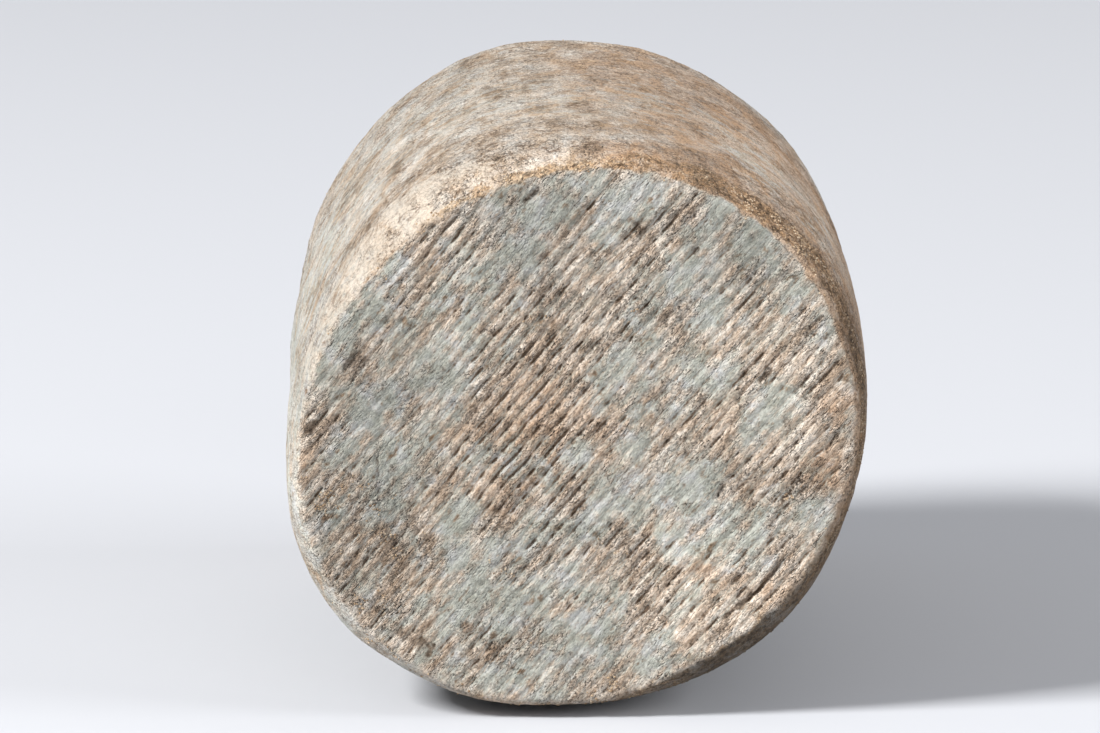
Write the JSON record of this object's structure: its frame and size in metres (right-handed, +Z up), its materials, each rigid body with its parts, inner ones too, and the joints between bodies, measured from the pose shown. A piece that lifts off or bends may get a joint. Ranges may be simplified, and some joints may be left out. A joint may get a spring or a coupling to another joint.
{
  "type": "whole blue cheese",
  "caption": "Whole uncut drum of fourme-style blue cheese lying on its side, with a dry mouldy rind and mat ridges pressed into both ends.",
  "frame": {"origin": "middle of the bounding box at its base, on the plane that the cheese lies on", "axes": "+Z up, +Y along the drum's axis, away from the ridged end that is seen best, +X to the right seen from that end"},
  "size_m": [0.134, 0.1904, 0.1312],
  "materials": {
    "rind": "dry, matt and mouldy: grey-blue bloom over tan, with brown grooves and an orange-brown crust at the edge"
  },
  "bodies": {
    "root": {"cheese_wheel": "rind"}
  },
  "joints": []
}
